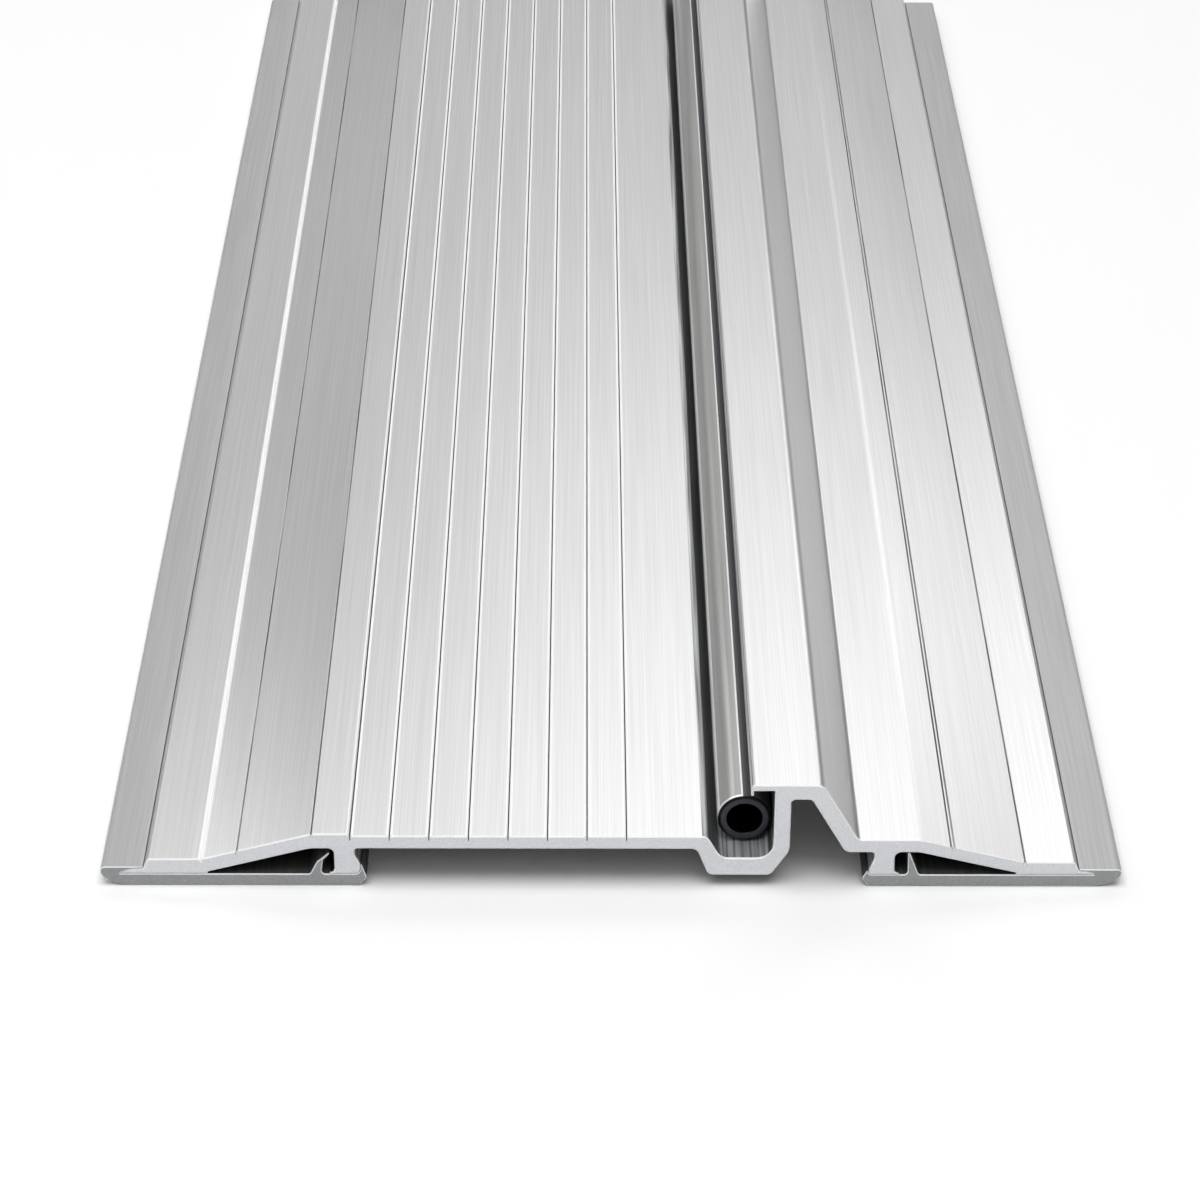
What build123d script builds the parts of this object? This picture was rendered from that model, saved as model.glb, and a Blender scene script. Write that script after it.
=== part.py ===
from build123d import *

import math
import os

# Run and overall width of the threshold. One section runs from end to end.
length = 335.0
width = 150.0

# Base strip: a bar under each side of the saddle, with a bull nose at its outer edge.
base_bar = 2.1
slip_fit = 0.06
nose_run = 6.3
nose_tip_height = 2.5
nose_under_run = 5.0
nose_over_run = 0.8
nose_lip_edge = 0.2

# Snap rib of each base strip, which stands in the hollow under the ramp. The left one hooks towards the leg.
rib_pocket = 2.0
rib_base = 1.6
rib_outer_round = 0.5
rib_inner_round = 0.6
hook_neck = 0.55
hook_neck_height = 2.15
hook_elbow = 0.5
hook_elbow_height = 3.1
hook_reach = 1.3
hook_height = 3.85
hook_tip = 0.35
hook_throat = 0.35
hook_throat_height = 2.45
hook_round = 0.5
hook_tip_round = 0.12
plain_rib_tip = 0.3
plain_rib_lean = 0.1
plain_rib_headroom = 0.12

# Inner end of the base strip: a thin lip that hugs the toe of the saddle's leg.
leg_lip_drop = 0.12
leg_lip_edge = 0.2
inner_end_reach = 0.7
inner_end_height = 1.45
inner_end_undercut = 1.0
inner_end_round = 0.5

# Saddle, from the outer edge inwards: tongue, step, border, ramp, hollow and leg.
# The left side stands taller, with a thicker ramp, and reaches further into its strip.
left_tongue_reach = 3.3
right_tongue_reach = 2.1
left_tongue_root = 0.96
right_tongue_root = 0.7
left_border_thickness = 2.65
right_border_thickness = 2.3
left_ramp_wall = 2.5
right_ramp_wall = 2.25
left_hollow_run = 4.5
right_hollow_run = 3.6
left_leg_height = 4.5
right_leg_height = 3.95
left_toe_height = 1.75
right_toe_height = 0.7
left_toe_round = 0.9
right_toe_round = 0.5
step_run = 0.8
step_round = 0.3
left_border_run = 7.8
right_border_run = 7.25
ramp_reach = 22.8
ramp_round = 6.0
hollow_tip = 0.3
hollow_round = 1.0
leg_thickness = 3.0
leg_flare = 0.7
leg_flare_edge = 0.25
leg_flare_round = 0.65
leg_neck = 1.1
leg_neck_round = 0.8
leg_toe = 0.75
leg_toe_corner = 0.15
leg_root_round = 0.5

# Deck, the left shoulder that stands a little proud of it, and the fine grooves that run along both.
deck_wall = 2.3
shoulder_rise = 0.35
shoulder_inset = 0.6
groove_line_width = 0.24
groove_line_depth = 0.32
tread_mouth = 0.4
ramp_line_mouth = 0.1
tread_pitch = 5.77
tread_border = 9.0
left_ramp_line = 5.3
right_ramp_line = 11.0
right_ramp_twin = 0.5

# Tube seal and the channel that it lies in.
seal_diameter = 8.0
seal_bore = 5.2
seal_recess = 4.2
seal_clearance = 0.1
seal_side_gap = 1.05
seal_headroom = 3.7
channel_standoff = 1.95
channel_floor = 3.1
channel_inner_slope = 61.0
channel_outer_slope = 69.0
channel_toe = 1.8
channel_heel_run = 2.7
channel_heel_rise = 4.3
channel_edge_round = 1.2
channel_left_round = 1.9
channel_right_round = 2.5
channel_outer_round = 1.2
channel_heel_round = 3.0

# Upstand beside the channel: a hollow stop with a lip over the seal and a sloping back.
lip_thickness = 1.15
lip_overhang = 3.5
lip_nib_width = 0.45
lip_nib_drop = 0.85
lip_round = 0.7
lip_nib_round = 0.2
upstand_wall = 2.4
upstand_top = 2.65
upstand_top_run = 7.0
upstand_slope = 60.7
upstand_slope_wall = 2.7
upstand_top_round = 1.9
upstand_foot_round = 0.8
upstand_hollow_round = 0.7
upstand_hollow_foot_round = 1.2
ledge_run = 2.45

# Heights above the floor.
deck_under = base_bar + left_leg_height
deck_top = deck_under + deck_wall
ledge_under = base_bar + right_leg_height
ledge_top = ledge_under + deck_wall
channel_top = channel_standoff + channel_floor
seal_radius = seal_diameter / 2
seal_z = channel_top + seal_clearance + seal_radius
lip_under = seal_z + seal_radius + seal_headroom
upstand_height = lip_under + lip_thickness
upstand_ceiling = upstand_height - upstand_top

# Distances from the middle, alike on both sides: the saddle's step, its border's edge and its ramp's top.
edge = width / 2
step_foot = edge - nose_run
border_edge = step_foot - step_run
ramp_top = border_edge - ramp_reach


def leg_outer(hollow_run):
    """Distance from the middle to the leg's face under the ramp."""
    return ramp_top - hollow_run


def leg_waist(hollow_run):
    """Distance from the middle to the leg's narrowest part, under the deck."""
    return leg_outer(hollow_run) - leg_thickness


def ramp_grade(leg_height, border_thickness, border_run):
    """Rise of the ramp for each millimetre that it runs inwards."""
    return (leg_height + deck_wall - border_thickness) / (ramp_reach - border_run)


def foot_section(
    leg_height,
    border_thickness,
    border_run,
    ramp_wall,
    hollow_run,
    toe_height,
    toe_round,
    tongue_reach,
    tongue_root,
):
    """One side of the saddle, drawn on the right: tongue, border, ramp, hollow and leg."""
    under = base_bar + leg_height
    top = under + deck_wall
    border_top = base_bar + border_thickness
    outer = leg_outer(hollow_run)
    waist = leg_waist(hollow_run)
    toe = waist - leg_toe
    ramp_foot = border_edge - border_run

    # The hollow's ceiling is parallel to the ramp, one ramp wall below it.
    grade = ramp_grade(leg_height, border_thickness, border_run)
    wall_height = ramp_wall * math.hypot(1, grade)
    hollow_end = ramp_foot + (border_thickness - wall_height - hollow_tip) / grade
    hollow_bend = ramp_top - (wall_height - deck_wall) / grade

    # Each corner is a point across and up, and the radius that rounds it.
    corners = [
        ((border_edge, border_top), step_round),
        ((ramp_foot, border_top), 0),
        ((ramp_top, top), ramp_round),
        ((waist, top), 0),
        ((waist, under), 0),
        ((waist, under - leg_neck), leg_neck_round),
        ((toe, base_bar + toe_height), leg_toe_corner),
        ((toe, base_bar), toe_round),
        ((outer + leg_flare, base_bar), 0),
        ((outer + leg_flare, base_bar + leg_flare_edge), 0),
        ((outer, base_bar + leg_flare_edge), leg_flare_round),
        ((outer, under), hollow_round),
        ((hollow_bend, under), ramp_round),
        ((hollow_end, base_bar + hollow_tip), 0),
        ((hollow_end, base_bar), 0),
    ]
    with BuildSketch() as section:
        with BuildLine():
            tongue = EllipticalCenterArc((step_foot, base_bar), tongue_reach, tongue_root, 0, arc_size=90)
            outline = [tongue @ 1, *(point for point, radius in corners), tongue @ 0]
            FilletPolyline(outline, radius=[radius for point, radius in corners])
        make_face()
    return section.sketch


def hooked_rib(rib_inner):
    """Corners of a rib with a neck and a claw that reaches towards the leg."""
    claw = rib_inner - hook_reach
    return [
        ((rib_inner + rib_base, base_bar), rib_outer_round),
        ((rib_inner + hook_neck, base_bar + hook_neck_height), hook_round),
        ((rib_inner - hook_elbow, base_bar + hook_elbow_height), hook_round),
        ((claw, base_bar + hook_height), hook_tip_round),
        ((claw, base_bar + hook_height - hook_tip), hook_tip_round),
        ((rib_inner - hook_throat, base_bar + hook_throat_height), hook_round),
        ((rib_inner, base_bar), rib_inner_round),
    ]


def plain_rib(rib_inner, leg_height):
    """Corners of a tapered rib that stands just under the hollow's ceiling."""
    rib_top = base_bar + leg_height - plain_rib_headroom
    tip_inner = rib_inner - plain_rib_lean
    return [
        ((rib_inner + rib_base, base_bar), rib_outer_round),
        ((tip_inner + plain_rib_tip, rib_top), hook_tip_round),
        ((tip_inner, rib_top), hook_tip_round),
        ((rib_inner, base_bar), rib_inner_round),
    ]


def strip_section(rib, hollow_run, toe_height, toe_round, tongue_reach, tongue_root):
    """A base strip, drawn on the right: nose, tongue pocket, base bar, snap rib and leg lip."""
    leg_side = leg_waist(hollow_run) - leg_toe - slip_fit
    lip_side = leg_side - leg_lip_edge
    lip_top = base_bar + toe_height - leg_lip_drop
    inner_end = lip_side - inner_end_reach
    corners = [
        *rib,
        ((leg_side, base_bar), toe_round),
        ((leg_side, lip_top), 0),
        ((lip_side, lip_top), 0),
        ((inner_end, inner_end_height), inner_end_round),
        ((inner_end + inner_end_undercut, 0), inner_end_round),
    ]
    pocket_run = tongue_reach + slip_fit
    pocket_height = tongue_root + slip_fit
    nose_top = base_bar + pocket_height + nose_lip_edge
    nose_over_rise = nose_top - nose_tip_height
    with BuildSketch() as section:
        with BuildLine():
            pocket = EllipticalCenterArc((step_foot, base_bar), pocket_run, pocket_height, 0, arc_size=90)
            under_center = (edge - nose_under_run, nose_tip_height)
            under_nose = EllipticalCenterArc(under_center, nose_under_run, nose_tip_height, 270, arc_size=90)
            over_center = (edge - nose_over_run, nose_tip_height)
            over_nose = EllipticalCenterArc(over_center, nose_over_run, nose_over_rise, 0, arc_size=90)
            Polyline(over_nose @ 1, (step_foot, nose_top), pocket @ 1)
            outline = [pocket @ 0, *(point for point, radius in corners), under_nose @ 0]
            FilletPolyline(outline, radius=[radius for point, radius in corners])
        make_face()
    return section.sketch


# Upstand and channel, worked inwards from the right leg.
deck_end = leg_waist(left_hollow_run)
ledge_end = leg_waist(right_hollow_run)
slope_rise = math.tan(math.radians(upstand_slope))
slope_foot = ledge_end - ledge_run
slope_top = slope_foot - (upstand_height - ledge_top) / slope_rise
slope_wall_run = upstand_slope_wall / math.sin(math.radians(upstand_slope))
seal_face = slope_top - upstand_top_run
upstand_back = seal_face + upstand_wall
lip_end = seal_face - lip_overhang
lip_nib = lip_end + lip_nib_width
seal_x = seal_face - seal_clearance - seal_radius


def slope_inside(z):
    """Inner face of the upstand's sloping back at a height."""
    return slope_foot - (z - ledge_top) / slope_rise - slope_wall_run


def channel_side(z):
    """Sloping left face of the channel at a height, clear of the seal by the side gap."""
    lean = math.radians(channel_inner_slope)
    drop = (seal_z - z) * math.cos(lean)
    return seal_x - (seal_radius + seal_side_gap - drop) / math.sin(lean)


channel_left = channel_side(channel_top)
deck_edge = channel_side(deck_top)
channel_toe_end = channel_left - channel_toe
channel_rise = deck_under - channel_standoff
channel_root = channel_toe_end - channel_rise / math.tan(math.radians(channel_outer_slope))
bridge_corners = [
    ((-deck_end, deck_top), 0),
    ((deck_edge, deck_top), channel_edge_round),
    ((channel_left, channel_top), channel_left_round),
    ((seal_face, channel_top), channel_right_round),
    ((seal_face, lip_under), 0),
    ((lip_nib, lip_under), 0),
    ((lip_nib, lip_under - lip_nib_drop), lip_nib_round),
    ((lip_end, lip_under - lip_nib_drop), lip_nib_round),
    ((lip_end, upstand_height), lip_round),
    ((slope_top, upstand_height), upstand_top_round),
    ((slope_foot, ledge_top), upstand_foot_round),
    ((ledge_end, ledge_top), 0),
    ((ledge_end, ledge_under), 0),
    ((slope_inside(ledge_under), ledge_under), upstand_hollow_foot_round),
    ((slope_inside(upstand_ceiling), upstand_ceiling), upstand_hollow_round),
    ((upstand_back, upstand_ceiling), upstand_hollow_round),
    ((upstand_back, channel_standoff + channel_heel_rise), channel_heel_round),
    ((upstand_back - channel_heel_run, channel_standoff), channel_outer_round),
    ((channel_toe_end, channel_standoff), channel_outer_round),
    ((channel_root, deck_under), channel_outer_round),
    ((-deck_end, deck_under), 0),
]

# Slopes of the two ramps, and places on them.
left_grade = ramp_grade(left_leg_height, left_border_thickness, left_border_run)
right_grade = ramp_grade(right_leg_height, right_border_thickness, right_border_run)


def left_ramp_point(run):
    """A point on the left ramp, at a run inwards from its foot."""
    return left_border_run - border_edge + run, base_bar + left_border_thickness + run * left_grade


def right_ramp_point(run):
    """A point on the right ramp, at a run inwards from its foot."""
    return border_edge - right_border_run - run, base_bar + right_border_thickness + run * right_grade


# The shoulder carries the left ramp on past the deck's level, then drops to the deck.
shoulder_top = deck_top + shoulder_rise
shoulder_start = ramp_top - shoulder_rise / left_grade
shoulder_end = deck_end + shoulder_inset
shoulder_corners = [
    left_ramp_point((ramp_reach - left_border_run) / 2),
    (-shoulder_start, shoulder_top),
    (-shoulder_end, shoulder_top),
    (-shoulder_end, deck_top - deck_wall / 2),
    (-ramp_top, deck_top - deck_wall / 2),
]

# Fine V grooves: the deck's tread has round lips, and the lines along the ramps have nearly sharp ones.
# Each groove is a point across and up, with the radius of its lips.
tread_count = int((deck_edge + shoulder_end - tread_border) // tread_pitch)
groove_lines = [((tread_pitch * (i + 1) - shoulder_end, deck_top), tread_mouth) for i in range(tread_count)]
groove_lines += [
    (left_ramp_point(0), tread_mouth),
    (left_ramp_point(left_ramp_line), ramp_line_mouth),
    ((-shoulder_start, shoulder_top), ramp_line_mouth),
    (right_ramp_point(right_ramp_line), ramp_line_mouth),
    (right_ramp_point(right_ramp_line - right_ramp_twin), ramp_line_mouth),
    (right_ramp_point(0), ramp_line_mouth),
]

# One more V groove parts the shoulder from the deck, with its lips at two levels.
shoulder_line = (-shoulder_end, deck_top)
groove_spread = groove_line_width * (groove_line_depth + shoulder_rise) / groove_line_depth / 2
groove_section = [(-groove_spread, shoulder_rise), (0, -groove_line_depth), (groove_spread, shoulder_rise)]
shoulder_lips = [
    (-shoulder_end - groove_spread, shoulder_top),
    (-shoulder_end + groove_line_width / 2, deck_top),
]

# Saddle: two feet joined by the deck, the seal's channel and the upstand.
left_foot = foot_section(
    left_leg_height,
    left_border_thickness,
    left_border_run,
    left_ramp_wall,
    left_hollow_run,
    left_toe_height,
    left_toe_round,
    left_tongue_reach,
    left_tongue_root,
)
right_foot = foot_section(
    right_leg_height,
    right_border_thickness,
    right_border_run,
    right_ramp_wall,
    right_hollow_run,
    right_toe_height,
    right_toe_round,
    right_tongue_reach,
    right_tongue_root,
)
with BuildPart() as saddle_extrusion:
    with BuildSketch(Plane.XZ) as saddle_section:
        with BuildLine():
            outline = [point for point, radius in bridge_corners]
            FilletPolyline(outline, radius=[radius for point, radius in bridge_corners], close=True)
        make_face()
        mirror(left_foot, about=Plane.YZ)
        add(right_foot)
        with BuildLine():
            Polyline(shoulder_corners, close=True)
        make_face()
        for leg_root in ((-deck_end, deck_under), (ledge_end, ledge_under)):
            fillet(saddle_section.vertices().sort_by_distance(leg_root)[0], radius=leg_root_round)
        with Locations(shoulder_line, *(point for point, lip_radius in groove_lines)):
            Polygon(groove_section, align=None, mode=Mode.SUBTRACT)
        for point, lip_radius in groove_lines:
            fillet(saddle_section.vertices().sort_by_distance(point)[:2], radius=lip_radius)
        for lip in shoulder_lips:
            fillet(saddle_section.vertices().sort_by_distance(lip)[0], radius=tread_mouth)
    extrude(amount=length / 2, both=True)

# Base strips: one under each side, slid on from the end.
left_strip = strip_section(
    hooked_rib(leg_outer(left_hollow_run) + rib_pocket),
    left_hollow_run,
    left_toe_height,
    left_toe_round,
    left_tongue_reach,
    left_tongue_root,
)
right_strip = strip_section(
    plain_rib(leg_outer(right_hollow_run) + rib_pocket, right_leg_height),
    right_hollow_run,
    right_toe_height,
    right_toe_round,
    right_tongue_reach,
    right_tongue_root,
)
with BuildPart() as left_base_strip:
    with BuildSketch(Plane.XZ):
        mirror(left_strip, about=Plane.YZ)
    extrude(amount=length / 2, both=True)

with BuildPart() as right_base_strip:
    with BuildSketch(Plane.XZ):
        add(right_strip)
    extrude(amount=length / 2, both=True)

# Tube seal: a hollow round, cut a little short of the saddle at both ends.
with BuildPart() as tube_seal:
    with BuildSketch(Plane.XZ):
        with Locations((seal_x, seal_z)):
            Circle(seal_radius)
            Circle(seal_bore / 2, mode=Mode.SUBTRACT)
    extrude(amount=length / 2 - seal_recess, both=True)

saddle_extrusion.part.label = "saddle_extrusion"
left_base_strip.part.label = "left_base_strip"
right_base_strip.part.label = "right_base_strip"
tube_seal.part.label = "tube_seal"

os.makedirs("parts", exist_ok=True)
export_step(saddle_extrusion.part, "parts/saddle_extrusion.step")
export_step(left_base_strip.part, "parts/left_base_strip.step")
export_step(right_base_strip.part, "parts/right_base_strip.step")
export_step(tube_seal.part, "parts/tube_seal.step")
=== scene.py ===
import math

import bmesh
import bpy
from mathutils import Matrix, Vector


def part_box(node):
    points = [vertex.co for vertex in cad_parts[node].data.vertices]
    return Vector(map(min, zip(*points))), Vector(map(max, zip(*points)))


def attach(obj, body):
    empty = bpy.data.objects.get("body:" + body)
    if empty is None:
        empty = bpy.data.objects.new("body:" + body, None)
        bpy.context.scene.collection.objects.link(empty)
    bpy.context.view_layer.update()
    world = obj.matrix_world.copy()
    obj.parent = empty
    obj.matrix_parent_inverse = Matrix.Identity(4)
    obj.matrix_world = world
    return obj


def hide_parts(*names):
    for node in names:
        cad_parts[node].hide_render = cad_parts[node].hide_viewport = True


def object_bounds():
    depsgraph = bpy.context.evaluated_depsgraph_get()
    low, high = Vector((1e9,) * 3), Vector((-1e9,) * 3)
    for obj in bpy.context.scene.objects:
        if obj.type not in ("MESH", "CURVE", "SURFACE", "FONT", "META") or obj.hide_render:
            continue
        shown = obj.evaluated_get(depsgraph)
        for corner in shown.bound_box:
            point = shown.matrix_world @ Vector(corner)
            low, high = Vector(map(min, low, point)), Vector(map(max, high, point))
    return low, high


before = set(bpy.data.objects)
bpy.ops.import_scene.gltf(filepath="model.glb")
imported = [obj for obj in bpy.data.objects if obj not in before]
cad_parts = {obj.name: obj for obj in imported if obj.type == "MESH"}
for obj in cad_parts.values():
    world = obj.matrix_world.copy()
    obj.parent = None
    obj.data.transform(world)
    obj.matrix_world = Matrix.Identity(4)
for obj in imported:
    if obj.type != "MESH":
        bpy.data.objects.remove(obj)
cad_low, cad_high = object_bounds()

# Saddle: one aluminium extrusion that carries the deck, the ramps, the seal's channel and the door stop.
# It is brushed along its run with a fine belt, sawn to length, and the rims of its sawn ends are deburred.
mm = 0.001
half_length = cad_high.y
saddle_deburr = 0.2 * mm
same_point = 0.001 * mm
same_plane = math.radians(0.5)
facet_turn = math.radians(14)
flat_weight = 60
# A face's lean is the share of its normal that points along the run.
least_end_lean = 0.99
least_rim_lean = 0.3
most_side_lean = 0.5


def sawn_piece(node, name, deburr):
    """One clean shell from a solid's facets, with the rims of its two sawn ends broken by a small flat."""
    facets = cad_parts[node].data.copy()
    facets.attributes.remove(facets.attributes["custom_normal"])
    shell = bmesh.new()
    shell.from_mesh(facets)
    bpy.data.meshes.remove(facets)
    bmesh.ops.remove_doubles(shell, verts=shell.verts, dist=same_point)
    ends = [face for face in shell.faces if abs(face.normal.y) > least_end_lean]
    long_edges = [edge for edge in shell.edges if not any(face in ends for face in edge.link_faces)]
    bmesh.ops.dissolve_limit(shell, angle_limit=same_plane, verts=[], edges=long_edges)
    bmesh.ops.inset_region(shell, faces=ends, thickness=deburr, use_boundary=True, use_even_offset=True)
    sides = [face for face in shell.faces if abs(face.normal.y) < most_side_lean]
    for vert in {vert for side in sides for vert in side.verts}:
        vert.co.y -= math.copysign(deburr, vert.co.y)
    shell.normal_update()
    for edge in shell.edges:
        edge.smooth = edge.calc_face_angle(0) < facet_turn
    for face in shell.faces:
        face.smooth = True
    mesh = bpy.data.meshes.new(name)
    shell.to_mesh(mesh)
    shell.free()
    piece = bpy.data.objects.new(name, mesh)
    bpy.context.scene.collection.objects.link(piece)
    smoothing = piece.modifiers.new("flats_stay_flat", "WEIGHTED_NORMAL")
    smoothing.mode = "FACE_AREA"
    smoothing.weight = flat_weight
    smoothing.keep_sharp = True
    return piece


def linear(code):
    """An sRGB hex colour as linear red, green, blue and alpha."""
    channels = [int(code[i : i + 2], 16) / 255 for i in (1, 3, 5)]
    return [c / 12.92 if c <= 0.04045 else ((c + 0.055) / 1.055) ** 2.4 for c in channels] + [1.0]


def add_node(tree, kind, inputs=None, output=0, **settings):
    """One output of a new shader node, with its settings, and inputs that are values or other outputs."""
    node = tree.nodes.new(kind)
    for key, value in settings.items():
        setattr(node, key, value)
    for key, value in (inputs or {}).items():
        socket = next(s for s in node.inputs if key in (s.identifier, s.name))
        if isinstance(value, bpy.types.NodeSocket):
            tree.links.new(value, socket)
        else:
            socket.default_value = value
    return node.outputs[output] if node.outputs else None


def new_material(name):
    """A new material and its empty tree."""
    material = bpy.data.materials.new(name)
    material.use_nodes = True
    material.node_tree.nodes.clear()
    return material, material.node_tree


def streaks(tree, place, line, run):
    """Noise drawn out along the piece, into lines about so wide and so long."""
    scale = (1 / line, 1 / run, 1 / line)
    drawn = add_node(tree, "ShaderNodeMapping", {"Vector": place, "Scale": scale})
    return add_node(tree, "ShaderNodeTexNoise", {"Vector": drawn, "Scale": 1.0, "Detail": 1.0})


# Most of a noise lies between these two values. A Mix node's colour leaves by its third socket.
noise_low = 0.3
noise_high = 0.7
colour_out = 2


def two_tone(tree, noise, dark, light):
    """A colour that follows a noise from a dark tone to a light one."""
    span = {"Value": noise, "From Min": noise_low, "From Max": noise_high}
    share = add_node(tree, "ShaderNodeMapRange", span)
    tones = {"Factor_Float": share, "A_Color": linear(dark), "B_Color": linear(light)}
    return add_node(tree, "ShaderNodeMix", tones, output=colour_out, data_type="RGBA")


def near_ends(tree, place, end, depth):
    """1 within a depth of the two ends, at plus and minus a place along the run, and 0 elsewhere."""
    along = add_node(tree, "ShaderNodeSeparateXYZ", {"Vector": place}, output="Y")
    reach = add_node(tree, "ShaderNodeMath", {"Value": along}, operation="ABSOLUTE")
    limit = {"Value": reach, "Value_001": end - depth}
    return add_node(tree, "ShaderNodeMath", limit, operation="GREATER_THAN")


# Brushed aluminium: fine hairlines along the run. Beside the deck's grooves and at the foot of the left
# ramp, a matt white lip is painted on as a highlight, and the grooves' dull grey core is painted shade. The
# sawn ends show the blade's grain, and their rims are painted white as a highlight. Hairlines and grain are
# drawn coarser than real, to show.
aluminium_dark = "#dedddd"
aluminium_light = "#ebeaea"
sawn_dark = "#c5c7ca"
sawn_light = "#d9dbde"
# Painted highlight: the white of the lips and rims.
painted_lip_highlight = "#fbfbfb"
# Painted shade: the grey of the grooves' cores.
painted_groove_shade = "#7e7f7f"
brush_line = 0.13 * mm
brush_run = 40 * mm
brush_depth = 0.002 * mm
saw_grain = 0.17 * mm
flat_margin = 0.01 * mm
left_bend = -60.1 * mm
shoulder_groove = -38.2 * mm
tread_pitch = 5.77 * mm
half_pitch = tread_pitch / 2
tread_grooves = 8
groove_half = 0.09 * mm
lip_core = 0.4 * mm
lip_reach = 0.55 * mm

brushed_aluminium, tree = new_material("brushed_aluminium")
place = add_node(tree, "ShaderNodeTexCoord", output="Object")
hairlines = streaks(tree, place, brush_line, brush_run)
brushed = two_tone(tree, hairlines, aluminium_dark, aluminium_light)
grain = add_node(tree, "ShaderNodeTexNoise", {"Vector": place, "Scale": 1 / saw_grain, "Detail": 2.0})
sawn = two_tone(tree, grain, sawn_dark, sawn_light)

# How far a point lies, across the saddle, from the nearest groove of the deck and from the left bend.
across = add_node(tree, "ShaderNodeSeparateXYZ", {"Vector": place}, output="X")
to_shoulder = {"Value": across, "Value_001": shoulder_groove}
from_shoulder = add_node(tree, "ShaderNodeMath", to_shoulder, operation="SUBTRACT")
deck_span = {"Value": from_shoulder, "Min": -half_pitch, "Max": tread_grooves * tread_pitch - half_pitch}
on_deck = add_node(tree, "ShaderNodeClamp", deck_span)
to_groove = {"Value": on_deck, "Value_001": half_pitch}
tread_gap = add_node(tree, "ShaderNodeMath", to_groove, operation="PINGPONG")
to_bend = {"Value": across, "Value_001": left_bend}
from_bend = add_node(tree, "ShaderNodeMath", to_bend, operation="SUBTRACT")
bend_gap = add_node(tree, "ShaderNodeMath", {"Value": from_bend}, operation="ABSOLUTE")
gap = add_node(tree, "ShaderNodeMath", {"Value": tread_gap, "Value_001": bend_gap}, operation="MINIMUM")

# Lips and rims are painted matt white as highlights. A groove's core keeps its painted grey shade,
# and the sawn faces keep a finish of their own.
lip_fade = {"Value": gap, "From Min": lip_core, "From Max": lip_reach, "To Min": 1.0, "To Max": 0.0}
lip_highlights = add_node(tree, "ShaderNodeMapRange", lip_fade)
in_groove = {"Value": tread_gap, "Value_001": groove_half}
groove = add_node(tree, "ShaderNodeMath", in_groove, operation="LESS_THAN")
rims = near_ends(tree, place, half_length, saddle_deburr - flat_margin)
sawn_ends = near_ends(tree, place, half_length, flat_margin)
lip_and_rim_highlights = add_node(tree, "ShaderNodeMath", {"Value": lip_highlights, "Value_001": rims}, operation="MAXIMUM")
kept = add_node(tree, "ShaderNodeMath", {"Value": groove, "Value_001": sawn_ends}, operation="MAXIMUM")
worn_alone = {"Value": lip_and_rim_highlights, "Value_001": kept}
painted_highlight = add_node(tree, "ShaderNodeMath", worn_alone, operation="SUBTRACT", use_clamp=True)
cored = {"Factor_Float": groove, "A_Color": brushed, "B_Color": linear(painted_groove_shade)}
groove_shaded = add_node(tree, "ShaderNodeMix", cored, output=colour_out, data_type="RGBA")
edged = {"Factor_Float": painted_highlight, "A_Color": groove_shaded, "B_Color": linear(painted_lip_highlight)}
faces = add_node(tree, "ShaderNodeMix", edged, output=colour_out, data_type="RGBA")
ended = {"Factor_Float": sawn_ends, "A_Color": faces, "B_Color": sawn}
relief = {"Height": hairlines, "Strength": 0.2, "Distance": brush_depth}
metal = {
    "Base Color": add_node(tree, "ShaderNodeMix", ended, output=colour_out, data_type="RGBA"),
    "Metallic": add_node(tree, "ShaderNodeMath", {"Value": 1.0, "Value_001": painted_highlight}, operation="SUBTRACT"),
    "Roughness": 0.3,
    "Normal": add_node(tree, "ShaderNodeBump", relief),
}
surface = add_node(tree, "ShaderNodeBsdfPrincipled", metal)
add_node(tree, "ShaderNodeOutputMaterial", {"Surface": surface})

# Mill aluminium: the finish that the die leaves where no belt reaches, in the grooves and the hollows and
# underneath. It is dull and only partly metallic, in coarse lines, and its dark grey there is painted shade.
# A paler copy is painted light, on the channel's floor and in the grooves of the ramps.
# Dark tones: painted shade in the grooves, the hollows and underneath.
shaded_mill_dark = "#5a5b5c"
shaded_mill_light = "#7a7b7c"
mill_metallic = 0.6
# Pale tones: painted light on the channel's floor and on faces that tilt partly up.
lit_mill_dark = "#75777a"
lit_mill_light = "#d8d9db"
lit_mill_metallic = 0.5
mill_line = 0.4 * mm
mill_run = 30 * mm
mill_depth = 0.01 * mm


def mill_finish(name, dark, light, metallic):
    """Extruded aluminium as it leaves the die, with lines along it from a dark grey to a light one."""
    material, tree = new_material(name)
    place = add_node(tree, "ShaderNodeTexCoord", output="Object")
    die_lines = streaks(tree, place, mill_line, mill_run)
    relief = {"Height": die_lines, "Strength": 0.3, "Distance": mill_depth}
    metal = {
        "Base Color": two_tone(tree, die_lines, dark, light),
        "Metallic": metallic,
        "Roughness": 0.4,
        "Normal": add_node(tree, "ShaderNodeBump", relief),
    }
    surface = add_node(tree, "ShaderNodeBsdfPrincipled", metal)
    add_node(tree, "ShaderNodeOutputMaterial", {"Surface": surface})
    return material


saddle = sawn_piece("saddle_extrusion", "saddle", saddle_deburr)
saddle.data.materials.append(brushed_aluminium)
saddle.data.materials.append(mill_finish("shaded_mill_aluminium", shaded_mill_dark, shaded_mill_light, mill_metallic))
saddle.data.materials.append(mill_finish("lit_mill_aluminium", lit_mill_dark, lit_mill_light, lit_mill_metallic))
brushed_slot, shaded_mill_slot, lit_mill_slot = range(3)
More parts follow.
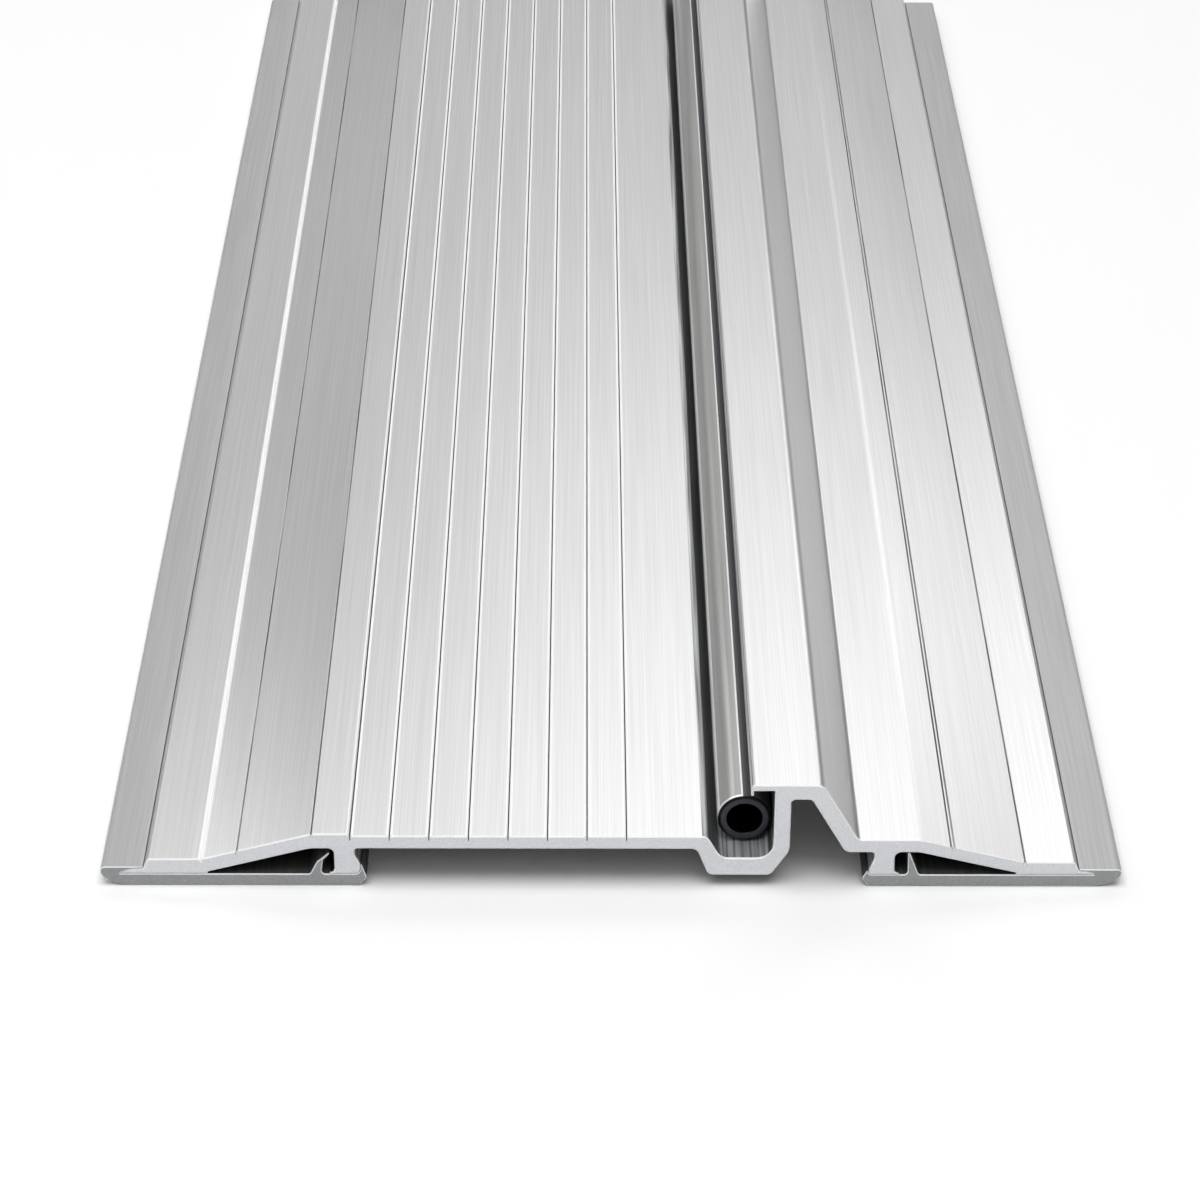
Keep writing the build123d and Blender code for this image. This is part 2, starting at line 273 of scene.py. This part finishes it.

# Each reach is the least upward share of a face's normal: what the belt brushes, what takes the pale mill
# as painted light, in the channel and elsewhere, and what shows bright at the small step from each tongue
# down to its strip.
belt_reach = 0.42
channel_lit_reach = 0.6
lit_reach = 0.01
step_reach = -0.2
seal_low, seal_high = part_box("tube_seal")
deck_level = 8.9 * mm
channel_mouth = 2.4 * mm
tongue_step = 66 * mm
lipped_grooves = [left_bend] + [shoulder_groove + i * tread_pitch for i in range(tread_grooves)]
# Unbrushed faces take the dark mill as painted shade where they face down or sideways, and the pale mill as
# painted light where they face partly upward.
for face in saddle.data.polygons:
    upward = face.normal.z
    in_channel = seal_low.x - channel_mouth < face.center.x < seal_high.x and face.center.z < deck_level
    on_end = abs(face.normal.y) > least_rim_lean
    at_lips = upward > 0 and any(abs(face.center.x - x) < lip_reach for x in lipped_grooves)
    at_step = upward > step_reach and abs(face.center.x) > tongue_step
    if on_end or at_lips or at_step:
        face.material_index = brushed_slot
    elif in_channel:
        face.material_index = lit_mill_slot if upward > channel_lit_reach else shaded_mill_slot
    elif upward < belt_reach:
        face.material_index = lit_mill_slot if upward > lit_reach else shaded_mill_slot
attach(saddle, "root")
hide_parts("saddle_extrusion")

# Base strips: a grey rigid vinyl strip clipped under each side of the saddle, with a bull nose outside.
# They are extruded, so fine die lines run along them. The saw leaves their ends grainy, and their rims are
# painted white as a highlight.
# Lines and grain are drawn coarser than real, to show.
strip_deburr = 0.15 * mm
vinyl_dark = "#a2a2a3"
vinyl_light = "#afafb0"
cut_dark = "#868a8c"
cut_light = "#9da0a3"
# Painted highlight: the white of the sawn rims.
painted_rim_highlight = "#f4f4f4"
vinyl_ior = 1.53
strip_line = 0.25 * mm
strip_run = 30 * mm
strip_depth = 0.01 * mm
cut_grain = 0.22 * mm

grey_vinyl, tree = new_material("grey_vinyl")
place = add_node(tree, "ShaderNodeTexCoord", output="Object")
die_lines = streaks(tree, place, strip_line, strip_run)
drawn = two_tone(tree, die_lines, vinyl_dark, vinyl_light)
grain = add_node(tree, "ShaderNodeTexNoise", {"Vector": place, "Scale": 1 / cut_grain, "Detail": 2.0})
cut = two_tone(tree, grain, cut_dark, cut_light)
rims = near_ends(tree, place, half_length, strip_deburr - flat_margin)
cut_ends = near_ends(tree, place, half_length, flat_margin)
edged = {"Factor_Float": rims, "A_Color": drawn, "B_Color": linear(painted_rim_highlight)}
faces = add_node(tree, "ShaderNodeMix", edged, output=colour_out, data_type="RGBA")
ended = {"Factor_Float": cut_ends, "A_Color": faces, "B_Color": cut}
relief = {"Height": die_lines, "Strength": 0.3, "Distance": strip_depth}
vinyl = {
    "Base Color": add_node(tree, "ShaderNodeMix", ended, output=colour_out, data_type="RGBA"),
    "Roughness": 0.34,
    "IOR": vinyl_ior,
    "Specular IOR Level": 0.9,
    "Normal": add_node(tree, "ShaderNodeBump", relief),
}
surface = add_node(tree, "ShaderNodeBsdfPrincipled", vinyl)
add_node(tree, "ShaderNodeOutputMaterial", {"Surface": surface})

# Shaded vinyl: under the saddle the strips are left dull from the die, and their grey is darkened in coarse
# lines as painted shade. It shows in the hollows at the two ends and under the deck.
painted_shade_dark = "#363636"
painted_shade_light = "#484846"
rough_line = 0.5 * mm

shaded_vinyl, tree = new_material("shaded_vinyl")
place = add_node(tree, "ShaderNodeTexCoord", output="Object")
shade_lines = streaks(tree, place, rough_line, strip_run)
relief = {"Height": shade_lines, "Strength": 0.3, "Distance": strip_depth}
shaded = {
    "Base Color": two_tone(tree, shade_lines, painted_shade_dark, painted_shade_light),
    "Roughness": 0.7,
    "IOR": vinyl_ior,
    "Normal": add_node(tree, "ShaderNodeBump", relief),
}
surface = add_node(tree, "ShaderNodeBsdfPrincipled", shaded)
add_node(tree, "ShaderNodeOutputMaterial", {"Surface": surface})

saddle_low, saddle_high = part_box("saddle_extrusion")
underside = 0.5 * mm
for node in ("left_base_strip", "right_base_strip"):
    strip = sawn_piece(node, node.replace("base_", ""), strip_deburr)
    strip.data.materials.append(grey_vinyl)
    strip.data.materials.append(shaded_vinyl)
    grey_slot, shaded_slot = range(2)
    # Sides covered by the saddle take the darker vinyl as painted shade.
    for face in strip.data.polygons:
        covered = saddle_low.x < face.center.x < saddle_high.x and face.center.z > underside
        on_side = abs(face.normal.y) < least_rim_lean
        face.material_index = shaded_slot if covered and on_side else grey_slot
    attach(strip, "root")
    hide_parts(node)

# Tube seal: a hollow round of black rubber laid in the channel under the lip, with a silver-grey slip skin
# on its left and top; right of the top the outside is painted a darker grey as painted shade under the lip.
# A knife cuts it a little short of the saddle, so its ends are black.
seal_axis = (seal_low + seal_high) / 2
seal_radius = (seal_high.z - seal_low.z) / 2
seal_wall = 1.4 * mm
bore_radius = seal_radius - seal_wall
seal_outer_edge = 0.4 * mm
seal_bore_edge = 0.25 * mm
edge_steps = 5
rim_turn = math.radians(60)
seal_sides = 96
seal_ring = [
    (bore_radius, seal_low.y),
    (seal_radius, seal_low.y),
    (seal_radius, seal_high.y),
    (bore_radius, seal_high.y),
]
tube = bmesh.new()
corners = [tube.verts.new(seal_axis + Vector((0, y - seal_axis.y, r))) for r, y in seal_ring]
outline = [tube.edges.new((corners[i - 1], corners[i])) for i in range(len(corners))]
bmesh.ops.spin(
    tube, geom=corners + outline, cent=seal_axis, axis=(0, 1, 0), angle=2 * math.pi,
    steps=seal_sides, use_merge=True,
)
bmesh.ops.remove_doubles(tube, verts=tube.verts, dist=same_point)
outer_rims = []
bore_rims = []
for rim in [edge for edge in tube.edges if edge.calc_face_angle(0) > rim_turn]:
    middle = (rim.verts[0].co + rim.verts[1].co) / 2 - seal_axis
    if math.hypot(middle.x, middle.z) > (seal_radius + bore_radius) / 2:
        outer_rims.append(rim)
    else:
        bore_rims.append(rim)
for rim_edges, rim_round in ((outer_rims, seal_outer_edge), (bore_rims, seal_bore_edge)):
    bmesh.ops.bevel(
        tube, geom=rim_edges, offset=rim_round, offset_type="OFFSET", segments=edge_steps, profile=0.5,
        affect="EDGES", clamp_overlap=False, material=-1,
    )
bmesh.ops.recalc_face_normals(tube, faces=tube.faces)
for face in tube.faces:
    face.smooth = True
mesh = bpy.data.meshes.new("seal")
tube.to_mesh(mesh)
tube.free()
seal = bpy.data.objects.new("seal", mesh)
bpy.context.scene.collection.objects.link(seal)

# Skinned rubber: black and smooth, under a grey skin with fine lines along it. The skin stops in a painted
# highlight near the top, low on the side and at the knife's cut; right of the top the outside is a darker
# grey as painted shade under the lip. The bore and a band round the cut are painted blacker, as painted
# shade.
rubber_dark = "#34363c"
rubber_light = "#44464e"
# Painted shade: the blacker bands and the darker bare outside. Painted highlight: the skin's bright edges.
painted_band_shade = "#030304"
shaded_bare_grey = "#565658"
skin_dark = "#a6a6a5"
skin_light = "#b4b4b2"
painted_skin_highlight = "#f2f2f2"
skin_metallic = 0.4
skin_line = 0.3 * mm
skin_run = 40 * mm
skin_relief = 0.01 * mm
skin_depth = 0.1 * mm
skin_stop = math.radians(-6)
skin_edge = math.radians(1.8)
low_stop = math.radians(-78)
low_edge = math.radians(12)
cut_edge = 0.45 * mm
band_width = 0.5 * mm
bore_margin = 0.1 * mm
band_depth = 0.2 * mm

skinned_rubber, tree = new_material("skinned_rubber")
place = add_node(tree, "ShaderNodeTexCoord", output="Object")
skin_lines = streaks(tree, place, skin_line, skin_run)

# How far a point lies from the seal's axis, and its turn about that axis, from straight up.
to_axis = {"Vector": place, "Vector_001": (seal_axis.x, 0, seal_axis.z)}
from_axis = add_node(tree, "ShaderNodeVectorMath", to_axis, operation="SUBTRACT")
sideways = add_node(tree, "ShaderNodeSeparateXYZ", {"Vector": from_axis}, output="X")
upwards = add_node(tree, "ShaderNodeSeparateXYZ", {"Vector": from_axis}, output="Z")
spoke = add_node(tree, "ShaderNodeCombineXYZ", {"X": sideways, "Z": upwards})
radius = add_node(tree, "ShaderNodeVectorMath", {"Vector": spoke}, output="Value", operation="LENGTH")
turn = add_node(tree, "ShaderNodeMath", {"Value": sideways, "Value_001": upwards}, operation="ARCTAN2")

# The skin lies on the outside between the cuts, left of its stop near the top.
skin_level = {"Value": radius, "Value_001": seal_radius - skin_depth}
outer_face = add_node(tree, "ShaderNodeMath", skin_level, operation="GREATER_THAN")
cut_ends = near_ends(tree, place, seal_high.y, band_depth)
between_cuts = {"Value": outer_face, "Value_001": cut_ends}
long_face = add_node(tree, "ShaderNodeMath", between_cuts, operation="SUBTRACT", use_clamp=True)
left_side = add_node(tree, "ShaderNodeMath", {"Value": turn, "Value_001": skin_stop}, operation="LESS_THAN")
skin = add_node(tree, "ShaderNodeMath", {"Value": long_face, "Value_001": left_side}, operation="MULTIPLY")

# Its painted highlights lie at the two stops and beside the cuts.
to_stop = {"Value": turn, "Value_001": skin_stop, "Value_002": skin_edge}
at_stop = add_node(tree, "ShaderNodeMath", to_stop, operation="COMPARE")
to_low_stop = {"Value": turn, "Value_001": low_stop, "Value_002": low_edge}
at_low_stop = add_node(tree, "ShaderNodeMath", to_low_stop, operation="COMPARE")
stops = add_node(tree, "ShaderNodeMath", {"Value": at_stop, "Value_001": at_low_stop}, operation="MAXIMUM")
stop_rims = add_node(tree, "ShaderNodeMath", {"Value": long_face, "Value_001": stops}, operation="MULTIPLY")
at_cut = near_ends(tree, place, seal_high.y, band_depth + cut_edge)
cut_rims = add_node(tree, "ShaderNodeMath", {"Value": skin, "Value_001": at_cut}, operation="MULTIPLY")
both_rims = {"Value": stop_rims, "Value_001": cut_rims}
skin_highlight = add_node(tree, "ShaderNodeMath", both_rims, operation="MAXIMUM")

# The colours are laid over each other: cut rubber, its blacker bands of painted shade, the bare outside
# in painted shade, skin, and its edges as painted highlights.
cut_rubber = two_tone(tree, skin_lines, rubber_dark, rubber_light)
band_level = {"Value": radius, "Value_001": seal_radius - band_width}
outer_band = add_node(tree, "ShaderNodeMath", band_level, operation="GREATER_THAN")
bore_level = {"Value": radius, "Value_001": bore_radius + bore_margin}
in_bore = add_node(tree, "ShaderNodeMath", bore_level, operation="LESS_THAN")
bands = add_node(tree, "ShaderNodeMath", {"Value": outer_band, "Value_001": in_bore}, operation="MAXIMUM")
banded = {"Factor_Float": bands, "A_Color": cut_rubber, "B_Color": linear(painted_band_shade)}
black = add_node(tree, "ShaderNodeMix", banded, output=colour_out, data_type="RGBA")
lip_shaded = {"Factor_Float": long_face, "A_Color": black, "B_Color": linear(shaded_bare_grey)}
bare = add_node(tree, "ShaderNodeMix", lip_shaded, output=colour_out, data_type="RGBA")
silver = two_tone(tree, skin_lines, skin_dark, skin_light)
coated = {"Factor_Float": skin, "A_Color": bare, "B_Color": silver}
coat = add_node(tree, "ShaderNodeMix", coated, output=colour_out, data_type="RGBA")
edged = {"Factor_Float": skin_highlight, "A_Color": coat, "B_Color": linear(painted_skin_highlight)}
sheen = {"Value": skin, "Value_001": skin_metallic}
relief = {"Height": skin_lines, "Strength": 0.2, "Distance": skin_relief}
rubber = {
    "Base Color": add_node(tree, "ShaderNodeMix", edged, output=colour_out, data_type="RGBA"),
    "Metallic": add_node(tree, "ShaderNodeMath", sheen, operation="MULTIPLY"),
    "Roughness": 0.28,
    "IOR": 1.5,
    "Specular IOR Level": 0.2,
    "Normal": add_node(tree, "ShaderNodeBump", relief),
}
surface = add_node(tree, "ShaderNodeBsdfPrincipled", rubber)
add_node(tree, "ShaderNodeOutputMaterial", {"Surface": surface})
seal.data.materials.append(skinned_rubber)
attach(seal, "root")
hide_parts("tube_seal")

# Floor: a plain white studio table, wide enough to fill the view and keep the soft shadow under the deck.
# A little of its own white is added where it is looked at or mirrored, so that it reads as paper white.
floor_size = 8.0
floor_drop = 0.02 * mm
floor_white = "#fafafa"
floor_glow = "#ffffff"
floor_lift = 0.035
table = bmesh.new()
bmesh.ops.create_grid(table, x_segments=1, y_segments=1, size=floor_size / 2)
bmesh.ops.translate(table, verts=table.verts, vec=(0, 0, -floor_drop))
mesh = bpy.data.meshes.new("floor")
table.to_mesh(mesh)
table.free()
floor = bpy.data.objects.new("floor", mesh)
bpy.context.scene.collection.objects.link(floor)
paper_white, tree = new_material("paper_white")
seen = add_node(tree, "ShaderNodeLightPath", output="Is Camera Ray")
for ray in ("Is Glossy Ray", "Is Transmission Ray"):
    other = add_node(tree, "ShaderNodeLightPath", output=ray)
    seen = add_node(tree, "ShaderNodeMath", {"Value": seen, "Value_001": other}, operation="MAXIMUM")
lift = add_node(tree, "ShaderNodeMath", {"Value": seen, "Value_001": floor_lift}, operation="MULTIPLY")
paper = add_node(tree, "ShaderNodeBsdfDiffuse", {"Color": linear(floor_white)})
glow = add_node(tree, "ShaderNodeEmission", {"Color": linear(floor_glow), "Strength": lift})
surface = add_node(tree, "ShaderNodeAddShader", {"Shader": paper, "Shader_001": glow})
add_node(tree, "ShaderNodeOutputMaterial", {"Surface": surface})
floor.data.materials.append(paper_white)

# Light: a dim even room and soft boxes, most of them behind the object, where the deck mirrors them.
# Each is given by its turn from straight behind to the right, its height above the floor in degrees, its
# size and how bright its face is. Pale walls at the sides and in front show only in what mirrors them.
room_white = "#ffffff"
room_level = 0.03
wall_level = 0.42
wall_start = 0.45
wall_end = 0.65
room = bpy.data.worlds.new("room")
room.use_nodes = True
tree = room.node_tree
tree.nodes.clear()
direction = add_node(tree, "ShaderNodeTexCoord", output="Generated")
backwards = add_node(tree, "ShaderNodeSeparateXYZ", {"Vector": direction}, output="Y")
wall_fade = {
    "Value": backwards, "From Min": wall_start, "From Max": wall_end, "To Min": wall_level, "To Max": 0.0
}
walls = add_node(tree, "ShaderNodeMapRange", wall_fade)
mirrored = add_node(tree, "ShaderNodeLightPath", output="Is Glossy Ray")
shown = add_node(tree, "ShaderNodeMath", {"Value": walls, "Value_001": mirrored}, operation="MULTIPLY")
level = add_node(tree, "ShaderNodeMath", {"Value": shown, "Value_001": room_level}, operation="ADD")
sky = add_node(tree, "ShaderNodeBackground", {"Color": linear(room_white), "Strength": level})
add_node(tree, "ShaderNodeOutputWorld", {"Surface": sky})
bpy.context.scene.world = room

# A soft box's face shows its power divided by four times its area.
box_distance = 1.6
power_share = 4
soft_boxes = {
    "low_left": {"azimuth": -26, "elevation": 20, "size": (0.5, 0.26), "level": 0.6},
    "low_back": {"azimuth": 0, "elevation": 20, "size": (0.95, 0.26), "level": 0.6},
    "left": {"azimuth": -42, "elevation": 36, "size": (0.48, 0.42), "level": 2.4},
    "back_left": {"azimuth": -8, "elevation": 34, "size": (0.48, 0.46), "level": 0.3},
    "low_right": {"azimuth": 32, "elevation": 12, "size": (0.6, 0.5), "level": 0.3},
    "back_right": {"azimuth": 8, "elevation": 36, "size": (0.48, 0.4), "level": 0.97},
    "key": {"azimuth": 25, "elevation": 29, "size": (0.48, 0.26), "level": 1.9},
    "high_back": {"azimuth": 0, "elevation": 50, "size": (1.2, 0.4), "level": 1.4},
    "side": {"azimuth": -86, "elevation": 36, "size": (0.6, 0.5), "level": 0.85},
    "top": {"azimuth": 190, "elevation": 76, "size": (1.5, 1.1), "level": 3.45},
    "front": {"azimuth": 190, "elevation": 45, "size": (1.4, 0.6), "level": 0.8},
}
for name, box in soft_boxes.items():
    azimuth, elevation = math.radians(box["azimuth"]), math.radians(box["elevation"])
    towards = Vector((
        math.sin(azimuth) * math.cos(elevation), math.cos(azimuth) * math.cos(elevation), math.sin(elevation)
    ))
    lamp = bpy.data.lights.new(name, "AREA")
    lamp.shape = "RECTANGLE"
    lamp.size, lamp.size_y = box["size"]
    lamp.energy = box["level"] * power_share * lamp.size * lamp.size_y
    lamp_object = bpy.data.objects.new(name, lamp)
    lamp_object.location = towards * box_distance
    lamp_object.rotation_euler = towards.to_track_quat("Z", "Y").to_euler()
    bpy.context.scene.collection.objects.link(lamp_object)

# Camera: close in front of one sawn end, looking along the run and down on the deck through a long lens.
# Its place and angles were fitted to the corners of the section and to the far end.
camera_place = Vector((-4.36, -592.54, 310.10)) * mm
camera_pitch = math.radians(31.527)
camera_yaw = math.radians(0.336)
camera_roll = math.radians(0.279)
camera_lens = 106.97
camera_film = 36.0
lens = bpy.data.cameras.new("camera")
lens.lens = camera_lens
lens.sensor_width = camera_film
camera = bpy.data.objects.new("camera", lens)
aim = Matrix.Rotation(-camera_yaw, 4, "Z") @ Matrix.Rotation(math.pi / 2 - camera_pitch, 4, "X")
camera.matrix_world = Matrix.Translation(camera_place) @ aim @ Matrix.Rotation(camera_roll, 4, "Z")
bpy.context.scene.collection.objects.link(camera)
bpy.context.scene.camera = camera
bpy.context.scene.view_settings.view_transform = "Standard"
